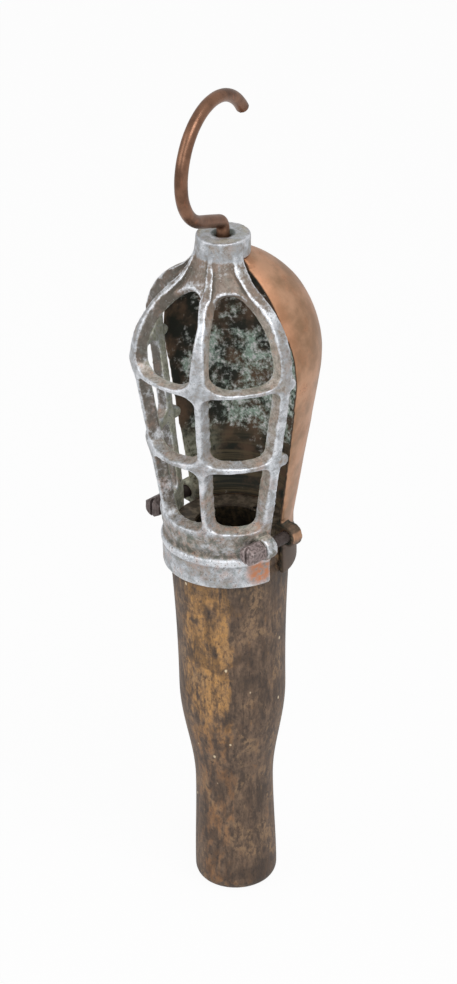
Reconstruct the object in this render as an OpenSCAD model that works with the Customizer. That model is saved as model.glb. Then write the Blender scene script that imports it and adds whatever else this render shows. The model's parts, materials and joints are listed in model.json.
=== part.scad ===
// Handheld work light. A turned wooden grip carries a lamp socket, and a cast guard and a copper
// reflector are clamped together round both. A bent hook swivels in the disc on top.
// The origin is the centre of the butt, +Z runs up the axis and the guard faces -Y.

/* [Handle] */
// Length of the wooden grip below the collar
grip_len = 150; // [135:1:170]
// Radius of the butt
butt_r = 16.7; // [15.5:0.1:18.5]
// Rounding of the butt edge
butt_round = 5; // [3:0.5:7]
// Radius of the waist
waist_r = 15.8; // [14:0.1:17]
// Height of the waist above the butt
waist_at = 47; // [38:1:55]
// Radius of the swell under the palm
swell_r = 21.5; // [20.6:0.1:22.5]
// Height of the swell above the butt
swell_at = 93; // [82:1:105]
// Radius of the wood that the collar clamps
tenon_r = 23.6; // [22.8:0.1:25]
// Length of the wood inside the collar
tenon_len = 12; // [10:0.5:15]
// Radius of the hole for the cord
cord_r = 5; // [4:0.1:6.5]

/* [Collar] */
// Wall of the lower band
band_wall = 2.8; // [2:0.1:4]
// Step of the rim above the lower band
rim_lip = 0.6; // [0.3:0.1:1]
// Height from the rim to the sill of the windows
throat_h = 12; // [11:0.5:18]
// Wall of the throat above the socket
throat_wall = 3.8; // [3:0.1:5]
// Radius of the clamping ears
ear_r = 4.8; // [4.4:0.1:5.5]
// Distance of the outer faces of the guard's ears from the split
ear_len = 10.6; // [9:0.1:13]
// Thickness of the guard's ears
ear_t = 5.2; // [4:0.1:6]
// How much closer to the split the left one of them stands
ear_shift = 2.8; // [0:0.1:3]
// Distance of the outer faces of the reflector's ears from the split
tab_len = 8.6; // [7.5:0.1:10]
// Half of the gap between the halves at the disc
gap_top = 0.55; // [0.3:0.05:1]
// Half of the gap between the halves at the foot of the collar
gap_foot = 3.9; // [2.5:0.1:4.5]

/* [Guard] */
// Radius of the guard at its shoulder
guard_r = 38.6; // [36:0.1:42]
// Height from the sill to the shoulder
guard_h = 74; // [68:0.5:80]
// Height from the shoulder to the top of the disc
crown_h = 43.5; // [40:0.5:48]
// Depth of the ribs
rib_depth = 5.5; // [4.5:0.1:6.5]
// Width of a rib on its inside
rib_base = 6.9; // [6:0.1:8]
// Width of a rib on its outside
rib_edge = 4.4; // [3:0.1:5.5]
// Part of that width that the slanted outer flanks of the middle ribs leave
ridge = 2.4; // [1.5:0.1:3]
// Width of the two ribs beside the split
side_rib = 5.4; // [4.5:0.1:6.5]
// Width of a ring on its inside
ring_base = 5.2; // [4.4:0.1:6.5]
// Width of a ring on its outside
ring_edge = 1.9; // [1.4:0.1:3]
// Height of the lower ring above the sill
low_ring_at = 30.5; // [27:0.5:35]
// Height of the upper ring above the sill
high_ring_at = 65.5; // [60:0.5:67]
// Depth of the apron below the top of the disc
apron = 18; // [16:0.5:22]
// Radius of the disc
disc_r = 10.6; // [9.5:0.1:12]
// Thickness of the disc
disc_t = 8; // [7:0.1:10]

/* [Reflector] */
// How far the widest part of the reflector stands inside the shoulder of the guard
reflector_in = 1.2; // [0:0.1:3]
// Wall of the reflector
sheet = 1.2; // [0.8:0.1:1.8]
// Radius of the pad under the disc
pad_r = 8.5; // [7.5:0.1:9.5]

/* [Hook] */
// Radius of the rod
rod_r = 2.6; // [2.2:0.1:3.2]
// Radius of the loop along the middle of the rod
loop_r = 25.8; // [20:0.1:30]
// Radius of the crook at the foot of the loop
crook_r = 21; // [16:0.1:24]
// Length of the straight run between the bend and the crook
run_len = 15; // [10:0.1:20]
// Radius of the bend above the disc
bend_r = 4.5; // [4.4:0.1:6]
// Angle of the tip above the middle of the loop
tip_angle = 33; // [0:1:45]
// Turn of the hook away from the split
hook_turn = 15; // [-90:1:90]

/* [Screws] */
// Radius of the clamp screws
screw_r = 2.4; // [2:0.05:2.8]
// Width of a head across its flats
head_w = 7.4; // [6.6:0.1:8.2]
// Length of a head
head_len = 8.2; // [6:0.1:9.5]

/* [Socket] */
// Radius of the socket body
socket_r = 18; // [17.7:0.1:18.6]
// Inside radius of the lamp shell
lamp_r = 13.2; // [12.8:0.05:13.5]
// Depth of the lamp shell
lamp_depth = 24; // [22:0.5:27]
// Thickness of the socket flange
flange_t = 3.4; // [2.6:0.1:4.5]
// Thickness of the fibre washer
fibre_t = 0.6; // [0.4:0.1:1.2]
// Height of the terminal chamber
chamber_h = 10; // [9:0.5:14]

/* [Hidden] */
$fn = 64;

// Heights of the collar, the guard and the disc.
collar_z = grip_len;
seat_z = collar_z + tenon_len;
rim_z = seat_z + 0.6;
flange_z = seat_z + fibre_t;
ledge_z = flange_z + flange_t + 0.15;
sill_z = rim_z + throat_h;
bend_z = sill_z + guard_h;
low_ring_z = sill_z + low_ring_at;
high_ring_z = sill_z + high_ring_at;
disc_z = bend_z + crown_h;
boss_z = disc_z - disc_t;
arch_z = disc_z - apron;

// Radii of the collar.
collar_in = tenon_r + 0.15;
band_r = collar_in + band_wall;
rim_r = band_r + rim_lip;
flange_r = tenon_r - 1;
ledge_r = flange_r - 0.9;
throat_r = ledge_r + throat_wall;
bead_r = throat_r + 0.9;
bead_z = rim_z + 6;
lip_z = collar_z + 2.6;
lip_h = 2.4;
lip_d = 1.1;

// Clamp screws.
screw_x = band_r + 1;
screw_z = rim_z + 5.5;
head_r = head_w / 2 / cos(30);
seat_gap = 0.3;

// Guard: corners of its crown, angle between ribs, depth of the sunken fields and fall of the top sills.
peak_z = bend_z + 0.3 * crown_h;
hip_z = disc_z - 0.28 * crown_h;
bay = 56.4;
pocket = 2.6;
sill_fall = 0.7;

// Reflector: an ellipse whose top is cut flat by the pad.
reflector_r = guard_r - reflector_in;
crown_z = boss_z - 0.15;
dome_z = bend_z - 6.2;
dome_h = (crown_z - dome_z) / sqrt(1 - pow(pad_r / reflector_r, 2));
pad_t = 2.2;
sheet_z = rim_z + 8.5;

// Hook.
stem_fit = 0.06;
stem_z = disc_z + 2;
run_up = 0.352;
run_out = 0.936;
washer_t = 1.2;
washer_z = crown_z - pad_t - 0.15 - washer_t;
nut_h = 4.6;
nut_w = 9.5;

// Socket.
bore_r = socket_r + 0.3;
mouth_z = flange_z + flange_t;
shell_t = 0.6;
floor_z = mouth_z - lamp_depth - 0.6;
floor_t = 4;
cap_z = floor_z - floor_t - chamber_h - 3;
well_z = cap_z - 0.4;
cup_r = lamp_r - 1.4;
cup_h = 5.6;
ring_r = 7.2;
rivet_r = 1.2;
rivet_at = (ring_r + cup_r) / 2 + 0.1;
contact_x = -4;
plate_t = 1.2;
plate_y = 2.5;
bolt_r = 1.1;
bolt_y = (lamp_r + shell_t + socket_r) / 2;

function unit(v) = v / norm(v);

function turned(v, a) = [v[0] * cos(a) - v[1] * sin(a), v[0] * sin(a) + v[1] * cos(a)];

// Arc in place of corner b of the path a-b-c. It starts and ends at the distance cut from b.
function arc(a, b, c, cut, n) =
    let (u = unit(a - b), w = unit(c - b))
    let (half = acos(u * w) / 2)
    let (rad = cut * tan(half))
    let (mid = b + unit(u + w) * rad / sin(half))
    let (arm = b + u * cut - mid)
    let (way = sign(arm[1] * u[0] - arm[0] * u[1]))
    [for (i = [0:n]) mid + turned(arm, way * (180 - 2 * half) * i / n)];

// Arc of radius r in place of corner b of the path a-b-c, shortened where its sides are short.
function corner(a, b, c, r, n) =
    r == 0 ? [b] :
    let (half = acos(unit(a - b) * unit(c - b)) / 2)
    arc(a, b, c, min(r / tan(half), 0.48 * norm(a - b), 0.48 * norm(c - b)), n);

function rounded(pts, radii, n = 5) =
    let (k = len(pts))
    [for (i = [0:k - 1]) each corner(pts[(i + k - 1) % k], pts[i], pts[(i + 1) % k], radii[i], n)];

// Corner b of the path a-b-c, moved to the left of the path by d.
function inset(a, b, c, d) =
    let (n1 = turned(unit(b - a), 90), n2 = turned(unit(c - b), 90))
    b + (n1 + n2) * d / (1 + n1 * n2);

// Half of the gap between the two halves at height z.
function gap(z) = gap_foot + (gap_top - gap_foot) * (z - collar_z) / (disc_z - collar_z);

// Distance of the outer face of the guard's ear on the line x from the split.
function ear_at(x) = x < 0 ? ear_len - ear_shift : ear_len;

// Outside of the guard on the cone and on the slope of the crown.
function cone_r(z) = bead_r + (guard_r - bead_r) * (z - bead_z) / (bend_z - bead_z);
function cone_at(z) = [cone_r(z), z];
function crown_at(z) = [disc_r + (cone_r(peak_z) - disc_r) * (z - hip_z) / (peak_z - hip_z), z];

// Path over the crown, sunk by d: one arc from the cone to the slope and a hollow one up to the disc.
function crown(d) =
    let (foot = cone_at(bead_z), peak = cone_at(peak_z), hip = crown_at(hip_z))
    let (low = inset(foot, peak, hip, d), slope = unit(hip - peak), span = norm(hip - peak))
    let (top = hip + [0, d / slope[0]])
    concat(
        arc(low + foot - peak, low, low + slope, 0.58 * span - 0.66 * d, 10),
        arc(top - slope, top, top + [0, 1], 0.33 * span, 7)
    );

// Point p of the plane through mid with the directions across and up, moved out by q.
function local_point(mid, up, out, p, q) =
    let (m = mid + up * p[1] + out * q)
    [p[0], -m[0], m[1]];

// Half-width of a bay at radius r beside a rib of width w.
function bay_half(r, w) = r * sin(bay / 2 - asin(w / 2 / r));

// The same beside the split, at the point p of the section and w away from the split.
function end_half(p, w) =
    let (y = gap(p[1]) + w)
    cos(bay) * sqrt(pow(p[0], 2) - pow(y, 2)) - sin(bay) * y;

// Half-width between its values w at the lower end, t = -1, and the upper end, t = 1.
function edge_at(w, t) = w[0] + (w[1] - w[0]) * (1 + t) / 2;

// Smooth step from 0 to 1.
function ease(t) = (1 - cos(180 * t)) / 2;

// Radius of the grip at height z above the rounded edge of the butt.
function grip_r(z) =
    z < waist_at ? butt_r + (waist_r - butt_r) * ease((z - butt_round) / (waist_at - butt_round)) :
    z < swell_at ? waist_r + (swell_r - waist_r) * ease((z - waist_at) / (swell_at - waist_at)) :
    swell_r + (tenon_r - swell_r) * pow((z - swell_at) / (grip_len - swell_at), 2);

// Inside of the collar, from the throat down to the foot, the same on both halves.
function collar_bore() = [
    [ledge_r, ledge_z],
    [collar_in, ledge_z],
    [collar_in, lip_z + lip_h],
    [collar_in - lip_d, lip_z + lip_h],
    [collar_in - lip_d, lip_z],
    [collar_in, lip_z],
    [collar_in, collar_z]
];

module handle() {
    steps = 44;
    color("saddlebrown")
    difference() {
        rotate_extrude()
        polygon(concat(
            [[0, 0]],
            [for (a = [-90:15:-15])
                [butt_r - butt_round + butt_round * cos(a), butt_round + butt_round * sin(a)]],
            [for (i = [0:steps])
                let (z = butt_round + (grip_len - butt_round) * i / steps)
                [grip_r(z), z]],
            [
                [tenon_r, lip_z - 0.2],
                [tenon_r - lip_d, lip_z - 0.2],
                [tenon_r - lip_d, lip_z + lip_h + 0.2],
                [tenon_r, lip_z + lip_h + 0.2],
                [tenon_r, seat_z],
                [0, seat_z]
            ]
        ));
        translate([0, 0, well_z])
        cylinder(r = bore_r, h = seat_z);
        translate([0, 0, -1])
        cylinder(r = cord_r, h = seat_z);
        translate([0, 0, -0.01])
        cylinder(r1 = cord_r + 1.5, r2 = cord_r, h = 1.5);
    }
}

// Section of the guard from the foot of the collar to the top of the disc and back down inside.
module guard_section() {
    foot = cone_at(bead_z);
    peak = cone_at(peak_z);
    hip = crown_at(hip_z);
    inside = inset(foot, peak, hip, rib_depth);
    slope = (peak - foot) / (peak_z - bead_z);
    at_sill = inside + slope * (sill_z + 1 - inside[1]);
    well_r = pad_r + 0.7;
    well = inside + (hip - peak) * (inside[0] - well_r) / (peak[0] - hip[0]);
    over = crown(0);
    under = arc(at_sill, inside, well, 0.55 * norm(well - inside), 8);
    pts = concat(
        [
            [band_r, collar_z],
            [band_r, rim_z - 2.6],
            [rim_r, rim_z - 1.8],
            [rim_r, rim_z],
            [throat_r, rim_z + 1.6],
            foot
        ],
        over,
        [[disc_r, disc_z], [0, disc_z], [0, boss_z], [well_r, boss_z], well],
        [for (i = [8:-1:0]) under[i]],
        [at_sill, [ledge_r, sill_z - 2.5]],
        collar_bore()
    );
    radii = concat(
        [2.4, 0, 0, 0.5, 1, 5],
        [for (p = over) 0],
        [0.6, 0, 0, 0, 6],
        [for (i = [0:len(pts) - len(over) - 12]) 0]
    );
    polygon(rounded(pts, radii));
}

// Cutter of one window, between the points lo and hi of the outside of the guard. It widens outward.
// The middle window has side 0, and the others have the split on their side -1 or 1.
// Between lo and hi the outside stands up to rise above the straight line, and its sill is steeper.
module window(lo, hi, low_round, top_round, rise, side) {
    up = unit(hi - lo);
    out = [up[1], -up[0]];
    mid = (lo + hi) / 2;
    half = norm(hi - lo) / 2;
    sag = mid[0] * (1 - cos(bay / 2)) * out[0];
    drop = rib_depth * out[0];
    q_in = -rib_depth - sag - 0.5;
    q_far = rise + 3;
    lift = [rise * out[0], 0];
    // Half-widths beside a middle rib and beside the split, at both ends, on the inside and the outside.
    tip = side == 0 ? rib_edge : 2 * ridge - rib_edge;
    ends = [lo, hi];
    in_rib = [for (p = ends) bay_half(p[0] - drop, rib_base)];
    out_rib = [for (p = ends) bay_half(p[0] + lift[0], tip)];
    in_end = [for (p = ends) end_half(p - [drop, 0], side_rib + 0.3)];
    out_end = [for (p = ends) end_half(p + lift, side_rib)];
    // The same flanks, carried on beyond the outside.
    reach = (q_far - q_in) / (rib_depth + rise);
    far_rib = in_rib + (out_rib - in_rib) * reach;
    far_end = in_end + (out_end - in_end) * reach;
    near_right = side > 0 ? in_end : in_rib;
    near_left = side < 0 ? in_end : in_rib;
    far_right = side > 0 ? far_end : far_rib;
    far_left = side < 0 ? far_end : far_rib;
    high = half - ring_base / 2;
    tall = high + (ring_base - ring_edge) / 2 * (1 - q_far / q_in);
    round_off = [low_round, low_round, top_round, top_round];
    // The sill slopes down to its brink on the outside.
    fall = rise > 0 ? sill_fall : (ring_edge - ring_base) / 2 / q_in;
    brink = half - ring_edge / 2;
    near_low = -brink - fall * q_in;
    far_low = -brink - fall * q_far;
    near_loop = rounded([
        [-edge_at(near_left, near_low / high), near_low],
        [edge_at(near_right, near_low / high), near_low],
        [near_right[1], high],
        [-near_left[1], high]
    ], round_off);
    far_loop = rounded([
        [-edge_at(far_left, far_low / tall), far_low],
        [edge_at(far_right, far_low / tall), far_low],
        [far_right[1], tall],
        [-far_left[1], tall]
    ], round_off * 1.5);
    n = len(near_loop);
    polyhedron(
        points = [
            for (p = near_loop) local_point(mid, up, out, p, q_in),
            for (p = far_loop) local_point(mid, up, out, p, q_far)
        ],
        faces = [
            [for (i = [0:n - 1]) i],
            [for (i = [n - 1:-1:0]) n + i],
            for (i = [0:n - 1])
                let (j = (i + 1) % n)
                each [[i, i + n, j + n], [i, j + n, j]]
        ]
    );
}

// Outer skin of the crown that is taken away between the ribs to leave the thin apron.
module apron_skin() {
    web = crown(pocket);
    last = web[len(web) - 1];
    rotate_extrude()
    polygon(concat(web, [[2 * guard_r, last[1]], [2 * guard_r, web[0][1]]]));
}

// Outline of the sunken field of one bay between its ridges, from the arch of the window up to the disc.
module apron_pocket(side) {
    rows = [crown_at(arch_z - 3.3), [disc_r + 2.6, hip_z], [disc_r + 0.6, disc_z - 3.4]];
    lo = rows[0];
    up = unit(rows[2] - lo);
    out = [up[1], -up[0]];
    at = [for (p = rows) (p - lo) * up];
    rib_w = [side == 0 ? rib_edge + 1 : rib_edge - 0.6, ridge, ridge];
    end_w = [1.08, 0.75, 0.6] * side_rib;
    rib = [for (i = [0:2]) bay_half(rows[i][0], rib_w[i])];
    end = [for (i = [0:2]) end_half(rows[i], end_w[i])];
    right = side > 0 ? end : rib;
    left = side < 0 ? end : rib;
    translate([0, -lo[0], lo[1]])
    rotate([90 - atan2(out[1], out[0]), 0, 0])
    translate([0, 0, -12])
    linear_extrude(height = 24)
    polygon(rounded([
        [-left[0], at[0]],
        [right[0], at[0]],
        [right[1], at[1]],
        [right[2], at[2]],
        [-left[2], at[2]],
        [-left[1], at[1]]
    ], [0, 0, 12, 2.5, 2.5, 12]));
}

// Everything on one side of the slanted split. The guard keeps side -1 and the reflector side 1.
module split_half(side) {
    lean = atan2(gap_foot - gap_top, disc_z - collar_z);
    translate([0, side * gap_foot, collar_z])
    rotate([side * lean, 0, 0])
    translate([-60, side > 0 ? 0 : -60, -20])
    cube([120, 60, 200]);
}

// Round boss of one clamping ear, with its outer face at the distance reach from the split.
module ear(x, side, reach, thick) {
    difference() {
        intersection() {
            translate([x, side * reach, screw_z])
            rotate([side * 90, 0, 0])
            cylinder(r = ear_r, h = thick);
            split_half(side);
        }
        translate([0, 0, collar_z])
        cylinder(r = collar_in, h = disc_z - collar_z);
    }
}

// Round nub at the end of a ring, which keeps the edge of the reflector off the guard.
module nub(x, z) {
    r = cone_r(z) - 0.5;
    tip = gap(z) - 0.35;
    translate([sign(x) * r, tip - 2.4, z])
    rotate([0, -sign(x) * 90, 0])
    cylinder(r = 2.4, h = rib_depth - 1.5);
    translate([sign(x) > 0 ? r - rib_depth + 1.5 : -r, -gap(z) - 2, z - 2.4])
    cube([rib_depth - 1.5, gap(z) + tip - 0.4, 4.8]);
}

module guard() {
    over = crown_at(arch_z + 0.3 * ring_base);
    color("silver")
    difference() {
        union() {
            difference() {
                intersection() {
                    rotate_extrude()
                    guard_section();
                    union() {
                        split_half(-1);
                        translate([0, 0, boss_z])
                        cylinder(r = disc_r, h = disc_z);
                    }
                }
                for (side = [-1, 0, 1])
                    rotate([0, 0, side * bay]) {
                        window(cone_at(sill_z - 1), cone_at(low_ring_z), 3, 3, 0, side);
                        window(cone_at(low_ring_z), cone_at(high_ring_z), 3.5, 3.5, 0, side);
                        window(cone_at(high_ring_z), over, 4, 7, 6, side);
                        intersection() {
                            apron_skin();
                            apron_pocket(side);
                        }
                    }
            }
            for (x = [-screw_x, screw_x]) {
                ear(x, -1, ear_at(x), ear_t);
                nub(x, low_ring_z);
                nub(x, high_ring_z);
            }
        }
        for (x = [-screw_x, screw_x]) {
            translate([x, 1, screw_z])
            rotate([90, 0, 0])
            cylinder(r = screw_r + 0.06, h = 2 * ear_len);
            translate([x, -ear_at(x), screw_z])
            rotate([90, 0, 0])
            cylinder(r = head_r + 0.4, h = 2 * head_len);
        }
        translate([0, 0, boss_z - 1])
        cylinder(r = rod_r + stem_fit, h = disc_z);
        translate([0, 0, disc_z - 1.4])
        cylinder(r1 = rod_r + stem_fit, r2 = rod_r + 1.6, h = 1.5);
    }
}

// Tangent from the throat to the ellipse of the dome, as an angle on the ellipse.
function dome_start(r, h, from) =
    let (p = [from[0], (from[1] - dome_z) * r / h])
    atan2(p[1], p[0]) + acos(r / norm(p));

function dome(r, h, start, stop, n) =
    [for (i = [0:n])
        let (a = start + (stop - start) * i / n)
        [r * cos(a), dome_z + h * sin(a)]];

module reflector_section() {
    foot = [throat_r, sheet_z];
    foot_in = [throat_r - sheet, sheet_z + 3];
    r_in = reflector_r - sheet;
    h_in = dome_h - sheet;
    stop = acos(pad_r / reflector_r);
    stop_in = acos(pad_r / r_in);
    pts = concat(
        rounded([
            [collar_in - 0.5, collar_z],
            [band_r, collar_z],
            [band_r, rim_z - 0.8],
            [throat_r, rim_z + 1.2],
            foot
        ], [0, 2.4, 0.8, 1.2, 0]),
        dome(reflector_r, dome_h, dome_start(reflector_r, dome_h, foot), stop, 26),
        [[0, crown_z], [0, crown_z - pad_t], [pad_r, crown_z - pad_t]],
        dome(r_in, h_in, stop_in, dome_start(r_in, h_in, foot_in), 26),
        [foot_in, [ledge_r, sheet_z - 1]],
        collar_bore()
    );
    polygon(pts);
}

module reflector() {
    color("peru")
    difference() {
        union() {
            intersection() {
                rotate_extrude()
                reflector_section();
                union() {
                    split_half(1);
                    translate([0, 0, crown_z - pad_t - 0.01])
                    cylinder(r = pad_r, h = pad_t + 1);
                }
            }
            ear(-screw_x, 1, tab_len, tab_len);
            ear(screw_x, 1, tab_len, tab_len);
        }
        for (x = [-screw_x, screw_x])
            translate([x, 2 * ear_len, screw_z])
            rotate([90, 0, 0])
            cylinder(r = screw_r + 0.05, h = 2 * ear_len);
        translate([0, 0, crown_z - 2 * pad_t])
        cylinder(r = rod_r + 0.3, h = 4 * pad_t);
    }
}

// Clamp screw on the line x, with a slotted hexagon head outside the ear of the guard.
module clamp_screw(x) {
    color("dimgray")
    translate([x, -ear_at(x) - seat_gap, screw_z])
    rotate([90, 0, 0])
    difference() {
        union() {
            rotate([0, 0, 90])
            cylinder(r = head_r, h = head_len - 0.8, $fn = 6);
            translate([0, 0, head_len - 0.8])
            cylinder(r1 = head_w / 2, r2 = head_w / 2 - 0.8, h = 0.8);
            translate([0, 0, 0.6 - ear_at(x) - tab_len])
            cylinder(r = screw_r, h = ear_at(x) + tab_len);
        }
        translate([-0.65, -head_r - 1, head_len - 2.2])
        cube([1.3, 2 * head_r + 2, 3]);
    }
}

module clamp_screw_left() {
    clamp_screw(-screw_x);
}

module clamp_screw_right() {
    clamp_screw(screw_x);
}

// Part of a ring of rod, standing on its edge.
module rod_arc(r, a) {
    rotate_extrude(angle = a)
    translate([r, 0])
    circle(r = rod_r);
}

// Start of the straight run, seen from the top of the stem, with the run along +Z.
module at_run() {
    translate([bend_r * (run_up - 1), 0, bend_r * run_out])
    rotate([0, -acos(run_up), 0])
    children();
}

// Middle of the crook, seen from the top of the stem.
module at_crook() {
    translate([bend_r * (run_up - 1), 0, bend_r * run_out])
    translate([-run_len * run_out, 0, run_len * run_up])
    translate([crook_r * run_up, 0, crook_r * run_out])
    rotate([90, 0, 0])
    children();
}

// Rod bent up from the disc: a short bend, a rising run, the crook and the loop.
module hook() {
    color("sienna")
    rotate([0, 0, 90 + hook_turn]) {
        translate([0, 0, washer_z - nut_h - 1.2])
        cylinder(r = rod_r, h = stem_z - washer_z + nut_h + 1.2);
        translate([0, 0, stem_z]) {
            difference() {
                translate([-bend_r, 0, 0])
                rotate([90, 0, 0])
                rod_arc(bend_r, 90);
                at_run()
                translate([-20, -20, 0])
                cube(40);
            }
            at_run()
            cylinder(r = rod_r, h = run_len);
            difference() {
                at_crook()
                rotate([0, 0, 180])
                rod_arc(crook_r, 90);
                at_run()
                translate([-40, -20, run_len - 80])
                cube([80, 40, 80]);
            }
            at_crook()
            translate([loop_r - crook_r, 0, 0])
            mirror([1, 0, 0])
            rod_arc(loop_r, 180 - tip_angle);
        }
    }
}

module hook_washer() {
    color("goldenrod")
    translate([0, 0, washer_z])
    difference() {
        cylinder(r = pad_r - 1.8, h = washer_t);
        translate([0, 0, -1])
        cylinder(r = rod_r + 0.05, h = washer_t + 2);
    }
}

module hook_nut() {
    color("goldenrod")
    translate([0, 0, washer_z - nut_h - 0.03])
    difference() {
        cylinder(r = nut_w / 2 / cos(30), h = nut_h, $fn = 6);
        translate([0, 0, -1])
        cylinder(r = rod_r + 0.03, h = nut_h + 2);
    }
}

module fibre_washer() {
    color("firebrick")
    translate([0, 0, seat_z])
    difference() {
        cylinder(r = flange_r, h = fibre_t);
        translate([0, 0, -1])
        cylinder(r = bore_r, h = fibre_t + 2);
    }
}

// Places of the two bolts that hold the socket body and its cap together.
module at_bolts() {
    for (y = [-bolt_y, bolt_y])
        translate([0, y, 0])
        children();
}

// Places of the two rivets of the lamp shell.
module at_rivets() {
    translate([rivet_at, 0, 0])
    children();
    translate([0, -rivet_at, 0])
    children();
}

module socket_body() {
    color("dimgray")
    difference() {
        union() {
            translate([0, 0, floor_z - floor_t])
            cylinder(r = socket_r, h = mouth_z - floor_z + floor_t);
            translate([0, 0, flange_z])
            cylinder(r = flange_r, h = flange_t);
        }
        translate([0, 0, floor_z])
        cylinder(r = lamp_r + shell_t + 0.05, h = mouth_z);
        translate([contact_x, 0, floor_z - floor_t - 1])
        cylinder(r = rivet_r + 0.05, h = floor_t + 2);
        at_rivets()
        translate([0, 0, floor_z - floor_t - 1])
        cylinder(r = rivet_r + 0.05, h = floor_t + 2);
        at_bolts()
        translate([0, 0, floor_z - floor_t - 1])
        cylinder(r = bolt_r + 0.06, h = mouth_z);
        at_bolts()
        translate([0, 0, mouth_z - 1.8])
        cylinder(r = bolt_r + 0.66, h = mouth_z);
    }
}

// Lamp shell: a stepped cup with the wide part that takes the lamp above the narrow foot.
module lamp_shell() {
    color("gold")
    translate([0, 0, floor_z + 0.02])
    difference() {
        union() {
            cylinder(r = cup_r + shell_t, h = cup_h);
            translate([0, 0, cup_h - shell_t])
            cylinder(r = lamp_r + shell_t, h = lamp_depth - cup_h + shell_t);
        }
        translate([0, 0, shell_t])
        cylinder(r = cup_r, h = lamp_depth);
        translate([0, 0, cup_h])
        cylinder(r = lamp_r, h = lamp_depth);
        translate([0, 0, -1])
        cylinder(r = ring_r, h = 3);
        at_rivets()
        translate([0, 0, -1])
        cylinder(r = rivet_r + 0.05, h = 3);
    }
}

// Solid rivet from height z0 to z1 with a coned head on top and a flat one below.
module rivet(z0, z1) {
    translate([0, 0, z0])
    cylinder(r = rivet_r, h = z1 - z0);
    translate([0, 0, z1])
    cylinder(r1 = rivet_r + 0.8, r2 = rivet_r + 0.1, h = 0.9);
    translate([0, 0, z0 - 0.7])
    cylinder(r = rivet_r + 0.7, h = 0.7);
}

module shell_rivets() {
    color("gold") {
        translate([rivet_at, 0, 0])
        rivet(floor_z - floor_t - plate_t - 0.04, floor_z + shell_t + 0.04);
        translate([0, -rivet_at, 0])
        rivet(floor_z - floor_t - 0.02, floor_z + shell_t + 0.04);
    }
}

// Springy leaf, bent up from its riveted foot.
module centre_contact() {
    leaf = 0.5;
    foot = contact_x - 2.4;
    color("gold")
    difference() {
        translate([0, 2.5, floor_z + 0.02])
        rotate([90, 0, 0])
        linear_extrude(height = 5)
        polygon([
            [foot, 0],
            [foot + 4.8, 0],
            [foot + 7.2, 3.3],
            [foot + 9.8, 3.5],
            [foot + 11.6, 2.3],
            [foot + 12, 2.7],
            [foot + 9.9, 3.55 + leaf],
            [foot + 6.9, 3.35 + leaf],
            [foot + 4.5, leaf],
            [foot, leaf]
        ]);
        translate([contact_x, 0, floor_z - 1])
        cylinder(r = rivet_r + 0.05, h = 2);
    }
}

module contact_rivet() {
    color("gold")
    translate([contact_x, 0, 0])
    rivet(floor_z - floor_t - plate_t - 0.04, floor_z + 0.56);
}

// Flat terminal plate under the floor of the socket, with a hole for its rivet and one for its screw.
module terminal(hole_x, tap_x, side) {
    color("gold")
    difference() {
        translate([side > 0 ? 2.2 : -11.6, -3, floor_z - floor_t - plate_t - 0.02])
        cube([9.4, 8.4, plate_t]);
        translate([hole_x, 0, floor_z - floor_t - 3])
        cylinder(r = rivet_r + 0.05, h = 4);
        translate([tap_x, plate_y, floor_z - floor_t - 3])
        cylinder(r = 1.55, h = 4);
    }
}

module shell_terminal() {
    terminal(rivet_at, rivet_at - 4.3, 1);
}

module centre_terminal() {
    terminal(contact_x, contact_x - 4.3, -1);
}

module terminal_screws() {
    top = floor_z - floor_t - 0.2;
    color("gold")
    for (x = [rivet_at - 4.3, contact_x - 4.3])
        translate([x, plate_y, top])
        difference() {
            union() {
                translate([0, 0, -4.4])
                cylinder(r = 1.5, h = 4.4);
                translate([0, 0, -6])
                cylinder(r = 2.8, h = 1.8);
            }
            translate([-4, -0.4, -7])
            cube([8, 0.8, 1.8]);
        }
}

module socket_cap() {
    top = floor_z - floor_t - 0.05;
    color("dimgray")
    difference() {
        translate([0, 0, cap_z])
        cylinder(r = socket_r, h = top - cap_z);
        translate([0, 0, cap_z + 3])
        cylinder(r = lamp_r, h = top);
        translate([0, 0, cap_z - 1])
        cylinder(r = cord_r - 0.6, h = top);
        at_bolts()
        translate([0, 0, cap_z - 1])
        cylinder(r = bolt_r + 0.06, h = top);
        at_bolts()
        translate([0, 0, cap_z - 1])
        cylinder(r = bolt_r + 0.75, h = 2.6);
    }
}

module socket_bolts() {
    head_z = mouth_z - 1.75;
    color("gold")
    at_bolts()
    difference() {
        union() {
            translate([0, 0, cap_z + 0.3])
            cylinder(r = bolt_r, h = head_z - cap_z - 0.3);
            translate([0, 0, head_z])
            cylinder(r = bolt_r + 0.6, h = 1.2);
        }
        translate([-4, -0.3, head_z + 0.7])
        cube([8, 0.6, 1]);
    }
}

module socket_nuts() {
    color("gold")
    at_bolts()
    translate([0, 0, cap_z + 0.2])
    difference() {
        cylinder(r = bolt_r + 0.65, h = 1.35, $fn = 6);
        translate([0, 0, -1])
        cylinder(r = bolt_r + 0.03, h = 4);
    }
}

handle();
guard();
reflector();
clamp_screw_left();
clamp_screw_right();
hook();
hook_washer();
hook_nut();
fibre_washer();
socket_body();
lamp_shell();
shell_rivets();
centre_contact();
contact_rivet();
shell_terminal();
centre_terminal();
terminal_screws();
socket_cap();
socket_bolts();
socket_nuts();
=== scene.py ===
"""Looks of a handheld work light: a turned wooden grip, a cast rib guard, a copper reflector,
two clamp screws, a bronze hanging hook and the lamp socket that they hold."""

import json
import math

import bpy
import numpy as np
from mathutils import Matrix, Vector


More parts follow.
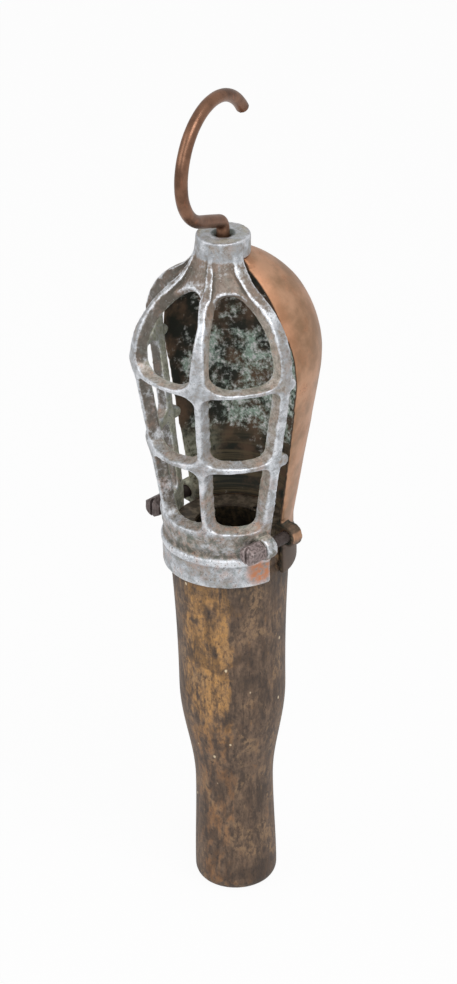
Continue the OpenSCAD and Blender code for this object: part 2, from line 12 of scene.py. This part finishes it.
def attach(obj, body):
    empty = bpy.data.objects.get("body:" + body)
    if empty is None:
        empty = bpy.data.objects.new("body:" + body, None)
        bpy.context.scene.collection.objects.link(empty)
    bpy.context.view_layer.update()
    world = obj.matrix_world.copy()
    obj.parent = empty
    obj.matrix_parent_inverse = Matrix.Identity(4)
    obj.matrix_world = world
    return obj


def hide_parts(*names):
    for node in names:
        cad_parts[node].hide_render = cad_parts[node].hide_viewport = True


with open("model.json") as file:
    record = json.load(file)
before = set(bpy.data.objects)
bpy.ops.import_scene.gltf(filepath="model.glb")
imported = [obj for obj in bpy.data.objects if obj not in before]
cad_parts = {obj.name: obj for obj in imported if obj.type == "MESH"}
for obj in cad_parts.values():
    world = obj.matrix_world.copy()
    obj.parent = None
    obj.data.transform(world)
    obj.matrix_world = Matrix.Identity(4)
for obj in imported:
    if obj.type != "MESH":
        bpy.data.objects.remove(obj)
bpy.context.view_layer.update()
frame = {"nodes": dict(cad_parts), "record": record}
nodes = frame["nodes"]
MM = 0.001

# The two middle ribs of the guard stand this many degrees to either side of its front.
RIB_ANGLE = 28.2

# Smoothings that show how far a point stands out: of a whole rib, and of its edges alone.
RIDGE_PASSES = 14
EDGE_PASSES = 4

# Camera of the photograph: it stands off the corner of the guard and looks down on it.
VIEW_AZIMUTH = math.radians(45)
VIEW_ELEVATION = math.radians(28.8)
VIEW_ROLL = math.radians(1.2)
VIEW_DISTANCE = 1.6
VIEW_TARGET = Vector((0, 0, 0.1793))
FOCAL_PX = 4055
IMAGE_HEIGHT_PX = 984
SENSOR_MM = 36

# Directions of the view, which the lights share.
toward_camera = Vector((
    math.sin(VIEW_AZIMUTH) * math.cos(VIEW_ELEVATION),
    -math.cos(VIEW_AZIMUTH) * math.cos(VIEW_ELEVATION),
    math.sin(VIEW_ELEVATION),
))
view_right = Vector((math.cos(VIEW_AZIMUTH), math.sin(VIEW_AZIMUTH), 0))
view_up = toward_camera.cross(view_right)
WORLD_UP = Vector((0, 0, 1))


def srgb(red, green, blue):
    """Linear colour of an 8-bit screen colour."""
    def linear(level):
        share = level / 255
        return share / 12.92 if share <= 0.04045 else ((share + 0.055) / 1.055) ** 2.4
    return (linear(red), linear(green), linear(blue), 1)


class Value:
    """A shader socket. Arithmetic on it adds Math nodes to its tree."""

    def __init__(self, shading, socket):
        self.shading = shading
        self.socket = socket

    def math(self, operation, left, right):
        return self.shading.node("ShaderNodeMath", {"operation": operation}, {0: left, 1: right})

    def __add__(self, other):
        return self.math("ADD", self, other)

    def __radd__(self, other):
        return self.math("ADD", other, self)

    def __sub__(self, other):
        return self.math("SUBTRACT", self, other)

    def __rsub__(self, other):
        return self.math("SUBTRACT", other, self)

    def __mul__(self, other):
        return self.math("MULTIPLY", self, other)

    def __rmul__(self, other):
        return self.math("MULTIPLY", other, self)

    def at_least(self, other):
        """The larger of two values."""
        return self.math("MAXIMUM", self, other)

    def above(self, low, high):
        """0 below low, 1 above high and a smooth step between."""
        return self.shading.node(
            "ShaderNodeMapRange",
            {"interpolation_type": "SMOOTHSTEP"},
            {"Value": self, "From Min": low, "From Max": high},
        )

    def below(self, low, high):
        """1 below low, 0 above high and a smooth step between."""
        return 1 - self.above(low, high)

    def between(self, start, full, ebb, end):
        """Rises from 0 at start to 1 at full, and falls from ebb to 0 at end."""
        return self.above(start, full) * self.below(ebb, end)


class Shading:
    """A node tree that is filled by expressions."""

    def __init__(self, tree):
        self.tree = tree

    def node(self, kind, settings=None, inputs=None, output=0):
        """Adds a node, sets it up, feeds its sockets and returns one of its outputs."""
        made = self.tree.nodes.new(kind)
        for name, setting in (settings or {}).items():
            setattr(made, name, setting)
        for name, value in (inputs or {}).items():
            self.feed(made.inputs[name], value)
        return Value(self, made.outputs[output])

    def feed(self, socket, value):
        """Links a Value to a socket, or sets a plain number, vector or colour on it."""
        if isinstance(value, Value):
            self.tree.links.new(value.socket, socket)
        else:
            socket.default_value = value


class Finish(Shading):
    """A procedural material on Object coordinates, with all its lengths in millimetres."""

    def __init__(self, name):
        self.material = bpy.data.materials.new(name)
        self.material.use_nodes = True
        super().__init__(self.material.node_tree)
        self.shader = self.tree.nodes["Principled BSDF"]
        self.place = self.node("ShaderNodeTexCoord", output="Object")
        self.normal = self.node("ShaderNodeTexCoord", output="Normal")

    def vector(self, operation, left, right=(0, 0, 0), output=0):
        return self.node("ShaderNodeVectorMath", {"operation": operation}, {0: left, 1: right}, output)

    def along(self, direction, vector=None):
        """How far a vector, the normal if none is given, points along a direction."""
        return self.vector("DOT_PRODUCT", vector or self.normal, direction, "Value")

    def across(self):
        """Place of the point along X: negative on the left of the guard."""
        return self.along((1 / MM, 0, 0), self.place)

    def back(self):
        """Place of the point along Y: negative in the guard, positive in the reflector."""
        return self.along((0, 1 / MM, 0), self.place)

    def height(self):
        """Place of the point along Z."""
        return self.along((0, 0, 1 / MM), self.place)

    def flat(self):
        """The point's place as seen from above, in metres."""
        return self.vector("MULTIPLY", self.place, (1, 1, 0))

    def radial(self):
        """Unit vector from the upright axis to the point."""
        return self.vector("NORMALIZE", self.flat())

    def off_axis(self):
        """How far the point lies from the upright axis."""
        return self.vector("LENGTH", self.flat(), output="Value") * (1 / MM)

    def distance(self, place):
        """How far the point lies from a place."""
        return self.vector("DISTANCE", self.place, [length * MM for length in place], "Value") * (1 / MM)

    def stretched(self, size):
        """Coordinates in which a pattern's features have one size, or a size for each axis."""
        sizes = size if isinstance(size, tuple) else (size, size, size)
        return self.vector("MULTIPLY", self.place, [1 / (length * MM) for length in sizes])

    def noise(self, size, detail=4, roughness=0.55, distortion=0):
        return self.node("ShaderNodeTexNoise", None, {
            "Vector": self.stretched(size),
            "Scale": 1,
            "Detail": detail,
            "Roughness": roughness,
            "Distortion": distortion,
        })

    def cells(self, size, output):
        """Voronoi cells: the Distance to the nearest centre, or one random Color for each cell."""
        inputs = {"Vector": self.stretched(size), "Scale": 1}
        return self.node("ShaderNodeTexVoronoi", None, inputs, output)

    def noted(self, name):
        """A number that is stored on the points of the mesh."""
        return self.node("ShaderNodeAttribute", {"attribute_name": name}, output="Fac")

    def mix(self, below, over, share):
        """Colour below with the colour over laid on it by share."""
        return self.node("ShaderNodeMix", {"data_type": "RGBA"}, {0: share, 6: below, 7: over}, 2)

    def bump(self, height, depth):
        """Normal of a relief of this depth."""
        inputs = {"Height": height, "Distance": depth * MM, "Strength": 1}
        return self.node("ShaderNodeBump", None, inputs)

    def done(self, **sockets):
        """Feeds the shader's sockets and returns the material."""
        for name, value in sockets.items():
            self.feed(self.shader.inputs[name.replace("_", " ")], value)
        return self.material


def worn_wood():
    """Dark oiled hardwood, worn golden in patches and lighter along one side as painted light, with dark
    pores and a few specks of paint.
    """
    wood = Finish("worn_wood")
    streak = wood.noise((3, 3, 17), 5, 0.6, 0.7)
    fibre = wood.noise((0.9, 0.9, 3.4), 4, 0.6)
    stain = wood.noise((5, 5, 11), 5, 0.62, 0.8)
    blotch = wood.noise((11, 11, 17), 4, 0.58, 0.6)
    grime = wood.noise((1.7, 1.7, 2.6), 5, 0.7)
    pits = wood.noise((0.9, 0.9, 1.6), 2, 0.5)
    height = wood.height()
    high = height.above(62, 98)

    # Brown wood, with worn gold patches that gather on the front-left side as painted light.
    dappled = (streak * 0.5 + grime * 0.5).above(0.38, 0.62)
    brown = wood.mix(srgb(74, 58, 47), srgb(130, 105, 84), dappled)
    brown = wood.mix(brown, srgb(122, 94, 72), stain.above(0.5, 0.66) * 0.4)
    gold = wood.mix(srgb(170, 121, 76), srgb(214, 160, 94), high)
    # The gold side faces front-left: painted light laid over the worn patches.
    handled = math.radians(-76)
    lit_gold_side = wood.along((math.cos(handled), math.sin(handled), 0), wood.radial())
    patchy = (streak - 0.5) * 1.8 + (stain - 0.5) * 2.6
    worn = (lit_gold_side.above(0.8, 0.98) * (0.45 + high * 0.3) + patchy).above(0.2, 0.95)
    colour = wood.mix(brown, gold, worn * (grime.above(0.36, 0.62) * 0.75 + 0.2))
    colour = wood.mix(colour, srgb(164, 134, 100), fibre.above(0.56, 0.7) * 0.22)

    # Stains and pores, darker towards the foot, painted shade under the guard's collar, and blotches,
    # some dark and some rubbed pale.
    colour = wood.mix(colour, srgb(58, 46, 39), (stain * 0.5 + grime * 0.5).above(0.53, 0.66) * 0.42)
    colour = wood.mix(colour, srgb(34, 29, 26), pits.above(0.66, 0.74) * 0.6)
    # Darker towards the foot, and painted shade just below the guard's collar.
    foot_dark_and_collar_shade = height.below(1, 8) * 0.5 + (height + (stain - 0.5) * 40).above(136, 150) * 0.45
    colour = wood.mix(colour, srgb(52, 44, 35), foot_dark_and_collar_shade)
    colour = wood.mix(colour, srgb(54, 41, 33), blotch.above(0.5, 0.64) * 0.6)
    rubbed = blotch.below(0.36, 0.47) * grime.above(0.42, 0.6)
    colour = wood.mix(colour, srgb(172, 139, 103), rubbed * 0.55)

    # A small drop of paint in some of the cells.
    spacing = (7, 7, 9)
    drop = wood.cells(spacing, "Distance").below(0.07, 0.1)
    chosen = wood.along((1, 0, 0), wood.cells(spacing, "Color")).above(0.68, 0.7)
    colour = wood.mix(colour, srgb(226, 206, 172), drop * chosen)

    relief = streak * 0.4 + fibre * 0.3 + grime * 0.35 - pits.above(0.6, 0.72) * 0.5
    return wood.done(
        Base_Color=colour,
        Roughness=0.42 + grime * 0.26,
        Normal=wood.bump(relief, 0.34),
    )


def worn_casting():
    """Brown bronze casting with a pale plating that holds on its outer faces and thins on its flanks."""
    cast = Finish("worn_casting")
    patch = cast.noise(10, 3, 0.55, 0.4)
    blush = cast.noise((4.5, 4.5, 6), 4, 0.6, 0.4)
    mottle = cast.noise(2.4, 5, 0.66)
    grain = cast.noise(0.8, 3, 0.62)
    tarnish = cast.noise(3.4, 5, 0.68, 0.5)
    fleck = (mottle * 0.6 + grain * 0.4).above(0.38, 0.62)
    warm = blush.above(0.48, 0.64) * mottle.above(0.38, 0.58)
    spread = (patch - 0.5) * 3 + (mottle - 0.5) * 3 + (grain - 0.5) * 1.6
    specks = (grain - 0.5) * 1.6 + (mottle - 0.5) * 1.2

    # Zones of the casting, by height and by the way its faces look.
    ridge = cast.noted("ridge")
    edge = cast.noted("edge")
    height = cast.height()
    outward = cast.along(cast.radial())
    upward = cast.along((0, 0, 1))
    low = height.below(165, 225)
    hem = height.between(159.6, 160.6, 162.6, 163.6)
    groove = height.between(163.2, 164, 165.6, 168)
    throat = height.between(163, 164, 171, 175)
    disc = height.above(283.5, 285)
    apron = height.above(264, 272) * (1 - disc)
    inner = outward.below(-0.25, 0.2)
    flank = outward.between(-0.5, -0.15, 0.18, 0.5) * upward.below(0.35, 0.7)
    left = cast.across().below(-10, 4)

    # Bare bronze: brown, green where it tarnished, crusted inside, and painted shade on the flanks that
    # face left.
    mealy = (mottle * 0.7 + grain * 0.3).above(0.36, 0.64)
    brown = cast.mix(srgb(136, 123, 112), srgb(216, 205, 194), mealy)
    brown = cast.mix(brown, srgb(190, 142, 114), warm * (low * 0.4 + 0.4))
    green = cast.mix(srgb(84, 90, 80), srgb(192, 202, 190), fleck)
    damp = inner * 0.6 + low * 0.35 + apron * 0.3 + 0.15
    bare = cast.mix(brown, green, tarnish.above(0.44, 0.62) * damp)
    crust = cast.mix(srgb(176, 178, 156), srgb(252, 252, 236), fleck)
    bare = cast.mix(bare, crust, inner * 0.85)
    bare = cast.mix(bare, srgb(112, 93, 79), apron * 0.62)
    # Painted shade on the flanks that face left.
    bare = cast.mix(bare, srgb(78, 73, 65), flank * left * 0.8)

    # Plating: it holds on what faces outward and is rubbed bright along the edges, partly worn and
    # partly a painted highlight.
    held = outward.above(0.16, 0.56) * 0.85 + ridge * (0.6 + apron * 2.4) + edge * 1.1
    held = held - apron * 0.85 - low * 0.04 - throat * 0.35 + hem * 0.9 + disc * upward * 0.7
    plate = (held + spread).above(0.05, 1.15)
    # Paler along edges and ridges: edge wear and a painted highlight.
    rubbed = edge * (2.3 - low * 0.4) + ridge * (0.7 + apron) + hem * 0.6 + spread * 0.9
    pale = cast.mix(srgb(174, 178, 183), srgb(240, 243, 248), rubbed.above(-0.1, 1.05))
    colour = cast.mix(bare, pale, plate)

    # A copper blush, tarnish and dirt lie over both.
    colour = cast.mix(colour, srgb(188, 146, 122), warm * (low * 0.3 + 0.12))
    colour = cast.mix(colour, srgb(132, 148, 142), tarnish.above(0.54, 0.68) * (low * 0.25 + 0.15))
    colour = cast.mix(colour, srgb(92, 82, 70), groove * (tarnish + mottle).above(0.8, 1.1) * 0.6)
    sunk = (tarnish - 0.5) * 2 - ridge * 3.4
    colour = cast.mix(colour, srgb(80, 74, 64), sunk.above(0.25, 1.05) * 0.65)
    colour = cast.mix(colour, srgb(80, 86, 74), throat * tarnish.above(0.44, 0.6) * 0.5)
    colour = cast.mix(colour, srgb(78, 70, 64), specks.above(0.12, 0.4) * (low * 0.3 + 0.55))
    colour = cast.mix(colour, srgb(238, 240, 240), specks.below(-0.46, -0.22) * 0.4)

    # A dark green ring stands round the foot of the hook.
    colour = cast.mix(colour, srgb(58, 66, 56), cast.off_axis().below(4.2, 5.4) * disc * 0.85)

    # The plating is gone down to the copper at the right end of the lower band.
    gone = cast.distance((25.5, -8.5, 156.5)).below(3, 7.5)
    colour = cast.mix(colour, srgb(206, 138, 100), gone * (patch * 0.5 + mottle * 1.1).above(0.6, 0.9))
    return cast.done(
        Base_Color=colour,
        Metallic=plate * 0.45 + 0.15,
        Roughness=0.52 - plate * 0.14 + (grain - 0.5) * 0.24,
        Normal=cast.bump(mottle * 0.6 + grain * 0.5, 0.24),
    )


def worn_copper():
    """Satin copper, brown and handled outside, black with pale green spots on the hollow side."""
    copper = Finish("worn_copper")
    cloud = copper.noise(13, 5, 0.6)
    rub = copper.noise((5, 5, 7), 5, 0.68)
    fine = copper.noise(0.8, 4, 0.65)
    cluster = copper.noise(10, 3, 0.55, 0.5)
    bloom = copper.noise(2, 5, 0.72)
    rings = copper.noise((60, 60, 1.8), 3, 0.6)

    # Zones of the shell, by place and by the way its faces look from the middle of the lamp.
    height = copper.height()
    back = copper.back()
    from_lamp = copper.vector("SUBTRACT", copper.place, (0, 0, 0.225))
    outward = copper.along(copper.vector("NORMALIZE", from_lamp))
    hollow = outward.below(-0.1, 0.15)
    shaded_split_faces = copper.along((0, -1, 0)).above(0.7, 0.95)
    lip = (back + (rub - 0.5) * 8).below(2, 8) * height.above(240, 258)
    band = (height + (rub - 0.5) * 8).below(165, 169)
    rim = (back + (cloud - 0.5) * 10).below(5, 11)
    foot = height.below(182, 200)
    belt = height.between(186, 200, 230, 240)

    # Outside: satin copper, darker on the band, with painted shade on the faces of the split.
    satin = copper.mix(srgb(162, 126, 97), srgb(204, 159, 128), cloud.above(0.34, 0.66))
    satin = copper.mix(satin, srgb(208, 146, 108), rub.above(0.48, 0.7) * 0.4)
    satin = copper.mix(satin, srgb(126, 100, 80), (fine * 0.5 + rub * 0.5).above(0.54, 0.66) * 0.4)
    satin = copper.mix(satin, srgb(206, 136, 96), lip * 0.25)
    satin = copper.mix(satin, srgb(88, 80, 74), band * 0.9)
    # Painted shade on the faces of the split that turn toward the guard.
    satin = copper.mix(satin, srgb(78, 64, 53), shaded_split_faces * 0.8)

    # Inside: soot and brown, with the rings of the spinning at the foot and clusters of pale green.
    brownish = copper.noise(8, 4, 0.6) + rim * 0.06 + back.above(12, 30) * 0.1
    soot = copper.mix(srgb(44, 46, 38), srgb(116, 93, 74), brownish.above(0.46, 0.72))
    soot = copper.mix(soot, srgb(126, 112, 86), foot * rings.above(0.46, 0.66) * 0.8)
    spots = (cluster * 1.5 + bloom * 1.5 - rim * 0.35 - foot * 0.2 + belt * 0.3).above(1.58, 2)
    whitened = (bloom * 0.7 + fine * 0.3).above(0.46, 0.6)
    inside = copper.mix(soot, copper.mix(srgb(186, 212, 196), srgb(255, 255, 255), whitened), spots)

    # A pale crust has grown beside the left ear.
    crust = copper.across().below(-26, -19) * height.below(186, 200) * outward.below(0.3, 0.6) * 0.8
    crusted = copper.mix(srgb(92, 92, 76), srgb(206, 206, 184), bloom.above(0.36, 0.6))
    inside = copper.mix(inside, crusted, crust)

    shine = (1 - hollow) * (1 - shaded_split_faces * 0.7) * (1 - band * 0.5)
    return copper.done(
        Base_Color=copper.mix(satin, inside, hollow.at_least(crust)),
        Metallic=shine * 0.6 + 0.05,
        Roughness=0.76 - shine * (0.34 - lip * 0.14) + (rub - 0.5) * 0.14,
        Normal=copper.bump(rub * 0.5 + fine * 0.14 + spots * hollow * 0.5, 0.24),
    )


def satin_bronze():
    """Brown bronze rod, rubbed bright in streaks."""
    bronze = Finish("satin_bronze")
    cloud = bronze.noise(11, 4, 0.6)
    rub = bronze.noise((1.6, 1.6, 5), 5, 0.65)
    fine = bronze.noise(0.6, 3, 0.6)
    colour = bronze.mix(srgb(102, 74, 58), srgb(146, 108, 86), cloud.above(0.34, 0.66))
    colour = bronze.mix(colour, srgb(170, 110, 82), rub.above(0.55, 0.72) * 0.5)
    colour = bronze.mix(colour, srgb(80, 60, 50), fine.above(0.58, 0.72) * 0.4)
    return bronze.done(
        Base_Color=colour,
        Metallic=0.85,
        Roughness=0.26 + rub * 0.14,
        Normal=bronze.bump(rub * 0.4 + fine * 0.2, 0.1),
    )


def rusty_steel():
    """Dark steel under a purple-brown rust, with painted shade on the left screw and on the shanks."""
    steel = Finish("rusty_steel")
    crust = steel.noise(1.3, 5, 0.68)
    fine = steel.noise(0.4, 3, 0.6)
    ridge = steel.noted("ridge")
    colour = steel.mix(srgb(96, 84, 81), srgb(168, 152, 150), crust.above(0.36, 0.62))
    colour = steel.mix(colour, srgb(124, 88, 70), (crust * 0.5 + fine * 0.5).above(0.54, 0.66) * 0.4)
    colour = steel.mix(colour, srgb(196, 184, 182), (ridge * 3 + fine * 0.4).above(0.35, 0.8) * 0.6)
    # Painted shade on the left screw.
    colour = steel.mix(colour, srgb(62, 53, 50), steel.across().below(-5, 5) * 0.6)
    # Painted shade on the shanks between the ears.
    colour = steel.mix(colour, srgb(52, 42, 37), steel.back().above(-9.5, -7.5) * 0.85)
    return steel.done(
        Base_Color=colour,
        Metallic=0.35,
        Roughness=0.5 + crust * 0.2,
        Normal=steel.bump(crust * 0.6 + fine * 0.3, 0.14),
    )


def brown_glaze():
    """Dark brown glazed ceramic under dust."""
    glaze = Finish("brown_glaze")
    dust = glaze.noise(3, 5, 0.65)
    colour = glaze.mix(srgb(84, 74, 64), srgb(150, 136, 118), dust.above(0.4, 0.7))
    return glaze.done(Base_Color=colour, Roughness=0.3 + dust * 0.3, Normal=glaze.bump(dust, 0.08))


def dull_brass():
    """Tarnished brass of the contacts and of the small screws."""
    brass = Finish("dull_brass")
    film = brass.noise(2.2, 5, 0.66)
    colour = brass.mix(srgb(36, 31, 25), srgb(84, 70, 50), film.above(0.38, 0.68))
    return brass.done(
        Base_Color=colour,
        Metallic=0.5,
        Roughness=0.5 + film * 0.2,
        Normal=brass.bump(film, 0.06),
    )


def red_fibre():
    """Pressed red fibre."""
    fibre = Finish("red_fibre")
    fleck = fibre.noise((0.8, 0.8, 0.3), 4, 0.7)
    colour = fibre.mix(srgb(74, 32, 24), srgb(116, 56, 42), fleck.above(0.38, 0.64))
    return fibre.done(Base_Color=colour, Roughness=0.75 + fleck * 0.15, Normal=fibre.bump(fleck, 0.05))


FINISHES = {
    "wood": worn_wood(),
    "guard_cast": worn_casting(),
    "reflector_copper": worn_copper(),
    "hook_bronze": satin_bronze(),
    "screw_steel": rusty_steel(),
    "porcelain": brown_glaze(),
    "contact_brass": dull_brass(),
    "fibre": red_fibre(),
}


def select_only(piece):
    """Makes one object the whole selection."""
    bpy.ops.object.select_all(action="DESELECT")
    piece.select_set(True)
    bpy.context.view_layer.objects.active = piece


def merged_copy(node, name):
    """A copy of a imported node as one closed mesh."""
    piece = bpy.data.objects.new(name, nodes[node].data.copy())
    bpy.context.collection.objects.link(piece)
    select_only(piece)
    bpy.ops.mesh.customdata_custom_splitnormals_clear()
    bpy.ops.object.mode_set(mode="EDIT")
    bpy.ops.mesh.select_all(action="SELECT")
    bpy.ops.mesh.remove_doubles(threshold=0.002 * MM)
    bpy.ops.object.mode_set(mode="OBJECT")
    return piece


def work(piece, kind, **settings):
    """Adds a modifier to a piece and applies it."""
    select_only(piece)
    modifier = piece.modifiers.new(kind.title(), kind)
    for name, setting in settings.items():
        setattr(modifier, name, setting)
    bpy.ops.object.modifier_apply(modifier=modifier.name)


def unevenness(name, size):
    """Cloudy relief with swells of this size in millimetres."""
    clouds = bpy.data.textures.new(name, "CLOUDS")
    clouds.noise_scale = size * MM
    clouds.noise_depth = 2
    return clouds


def points_of(piece, kind="co"):
    """Places or normals of the points of a piece, one row each."""
    values = np.empty(len(piece.data.vertices) * 3)
    piece.data.vertices.foreach_get(kind, values)
    return values.reshape(-1, 3)


def move_points(piece, points):
    """Puts the points of a piece in new places."""
    piece.data.vertices.foreach_set("co", points.ravel())
    piece.data.update()


def note_ridges(piece, name, passes):
    """Stores on each point how far, in millimetres, it stands out of the surface round it."""
    mesh = piece.data
    points = points_of(piece)
    count = len(points)
    ends = np.empty(len(mesh.edges) * 2, dtype=np.int32)
    mesh.edges.foreach_get("vertices", ends)
    first, second = ends.reshape(-1, 2).T
    neighbours = np.bincount(ends, minlength=count)[:, None]
    soft = points
    for _ in range(passes):
        total = np.stack([
            np.bincount(first, soft[second, axis], count) + np.bincount(second, soft[first, axis], count)
            for axis in range(3)
        ], axis=1)
        soft = total / neighbours
    height = ((points - soft) * points_of(piece, "normal")).sum(axis=1) / MM
    noted = mesh.attributes.new(name, "FLOAT", "POINT")
    noted.data.foreach_set("value", height.astype(np.float32))


def worn_copy(node, name, body, slot, voxel, passes, swell=None, depth=0):
    """Stands for a node with its edges worn soft and, if a swell is given, its faces uneven."""
    piece = merged_copy(node, name)
    work(piece, "REMESH", mode="VOXEL", voxel_size=voxel * MM)
    work(piece, "SMOOTH", factor=0.5, iterations=passes)
    if swell:
        relief = unevenness(name + "_relief", swell)
        work(piece, "DISPLACE", texture=relief, texture_coords="LOCAL", strength=depth * MM)
    note_ridges(piece, "ridge", RIDGE_PASSES)
    note_ridges(piece, "edge", EDGE_PASSES)
    select_only(piece)
    bpy.ops.object.shade_smooth()
    piece.data.materials.clear()
    piece.data.materials.append(FINISHES[slot])
    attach(piece, body)
    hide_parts(node)
    return piece


def draw_in_rim(piece):
    """Draws the rim of the reflector in beside the split, so that it follows the ribs of the guard."""
    points = points_of(piece)
    x, y, z = points.T
    depth = np.interp(z / MM, [205, 236, 250, 262, 280, 283.5], [0, 0.6, 2, 4.9, 5.8, 0]) * MM
    share = np.clip(1 - y / (24 * MM), 0, 1) ** 2
    points[:, 0] *= 1 - depth * share / np.maximum(np.hypot(x, y), 5 * MM)
    move_points(piece, points)


def shift_ribs(piece):
    """Broadens the two middle ribs of the guard, sets them upright and turns the apron above them."""
    points = points_of(piece)
    x, y, z = points.T
    height = z / MM
    radius = np.hypot(x, y)
    angle = np.degrees(np.arctan2(x, -y))
    aside = np.abs(angle)

    # Phase of a wave that has its crest on each middle rib and dies out halfway to its neighbours.
    phase = np.pi * np.clip(aside / RIB_ANGLE - 1, -1, 1)
    broader = np.interp(height, [170, 178, 258, 270, 277], [0, 4.9, 4.9, 2.45, 0])
    leaning = np.interp(height, [170, 182, 215, 255, 266, 274], [0, -1.6, -0.5, 1, 1, 0])
    turn = np.sign(angle) * (broader * np.sin(phase) + leaning * (1 + np.cos(phase)) / 2)

    # The apron turns as a whole, up to the outer ribs, which stay.
    turn += np.interp(height, [266, 276, 284], [0, -3.5, -10]) * np.clip((84 - aside) / 25, 0, 1)
    turned = np.radians(angle + turn)
    points[:, 0] = radius * np.sin(turned)
    points[:, 1] = -radius * np.cos(turned)
    move_points(piece, points)


worn_copy("handle", "wooden_grip", "light", "wood", voxel=0.8, passes=4)
guard = worn_copy(
    "guard", "guard_casting", "light", "guard_cast",
    voxel=0.45, passes=9, swell=2.4, depth=0.2,
)
shift_ribs(guard)
reflector = worn_copy(
    "reflector", "copper_reflector", "light", "reflector_copper",
    voxel=0.7, passes=6, swell=18, depth=0.5,
)
draw_in_rim(reflector)
worn_copy("hook", "hanging_hook", "hook", "hook_bronze", voxel=0.35, passes=8, swell=9, depth=0.15)
for side in ("left", "right"):
    worn_copy(
        f"clamp_screw_{side}", f"{side}_clamp_screw", f"{side}_screw", "screw_steel",
        voxel=0.2, passes=4, swell=1.2, depth=0.1,
    )

for part in frame["record"]["subparts"]:
    nodes[part["node"]].material_slots[0].material = FINISHES[part["material_slot"]]


def background_rays(shading, gloss):
    """1 for rays that show the background, from the camera or through glass, gloss for reflections."""
    camera, reflected, through = [
        shading.node("ShaderNodeLightPath", output=name)
        for name in ("Is Camera Ray", "Is Glossy Ray", "Is Transmission Ray")
    ]
    return camera.at_least(through).at_least(reflected * gloss)


def white_world(ambient, gloss):
    """White to look at, and a softer light on the object."""
    world = bpy.data.worlds.new("studio")
    world.use_nodes = True
    bpy.context.scene.world = world
    shading = Shading(world.node_tree)
    background = world.node_tree.nodes["Background"]
    background.inputs["Color"].default_value = (1, 1, 1, 1)
    strength = background_rays(shading, gloss) * (1 - ambient) + ambient
    shading.feed(background.inputs["Strength"], strength)


def pale_floor(size, shadow_share, gloss):
    """White floor that still shows a share of the object's shadow."""
    bpy.ops.mesh.primitive_plane_add(size=size)
    floor = bpy.context.object
    floor.name = "floor"
    select_only(floor)
    bpy.ops.object.mode_set(mode="EDIT")
    bpy.ops.mesh.subdivide(number_cuts=3)
    bpy.ops.object.mode_set(mode="OBJECT")
    material = bpy.data.materials.new("pale_floor")
    material.use_nodes = True
    shading = Shading(material.node_tree)
    material.node_tree.nodes.remove(material.node_tree.nodes["Principled BSDF"])
    matt = shading.node("ShaderNodeBsdfDiffuse", None, {"Color": (0.92, 0.92, 0.92, 1)})
    white = shading.node("ShaderNodeEmission", None, {"Color": (1, 1, 1, 1), "Strength": 1})
    share = background_rays(shading, gloss) * (1 - shadow_share)
    mixed = shading.node("ShaderNodeMixShader", None, {0: share, 1: matt, 2: white})
    shading.feed(material.node_tree.nodes["Material Output"].inputs["Surface"], mixed)
    floor.data.materials.append(material)


def softbox(name, right, up, near, size, power):
    """Square area light that faces the object's middle, from so many metres right, up and near of it."""
    lamp = bpy.data.lights.new(name, "AREA")
    lamp.size = size
    lamp.energy = power
    holder = bpy.data.objects.new(name, lamp)
    bpy.context.collection.objects.link(holder)
    offset = right * view_right + up * WORLD_UP + near * toward_camera
    holder.location = VIEW_TARGET + offset
    holder.rotation_euler = offset.to_track_quat("Z", "Y").to_euler()


def photo_camera():
    """Camera at the photograph's angle, turned by its small roll."""
    camera = bpy.data.objects.new("photo_camera", bpy.data.cameras.new("photo_camera"))
    bpy.context.collection.objects.link(camera)
    camera.data.sensor_width = SENSOR_MM
    camera.data.lens = FOCAL_PX / IMAGE_HEIGHT_PX * SENSOR_MM
    across = math.cos(VIEW_ROLL) * view_right - math.sin(VIEW_ROLL) * view_up
    upward = math.sin(VIEW_ROLL) * view_right + math.cos(VIEW_ROLL) * view_up
    turn = Matrix((across, upward, toward_camera)).transposed().to_4x4()
    camera.matrix_world = Matrix.Translation(VIEW_TARGET + VIEW_DISTANCE * toward_camera) @ turn
    bpy.context.scene.camera = camera


white_world(ambient=0.38, gloss=0.45)
pale_floor(size=12, shadow_share=0.05, gloss=0.4)
softbox("key", right=0.5, up=1, near=0.8, size=0.8, power=9.5)
softbox("fill", right=-1.1, up=0.5, near=0.6, size=0.9, power=4)
softbox("front", right=0, up=0, near=1.6, size=0.7, power=3)
photo_camera()
bpy.context.scene.view_settings.view_transform = "Standard"

bpy.context.view_layer.update()
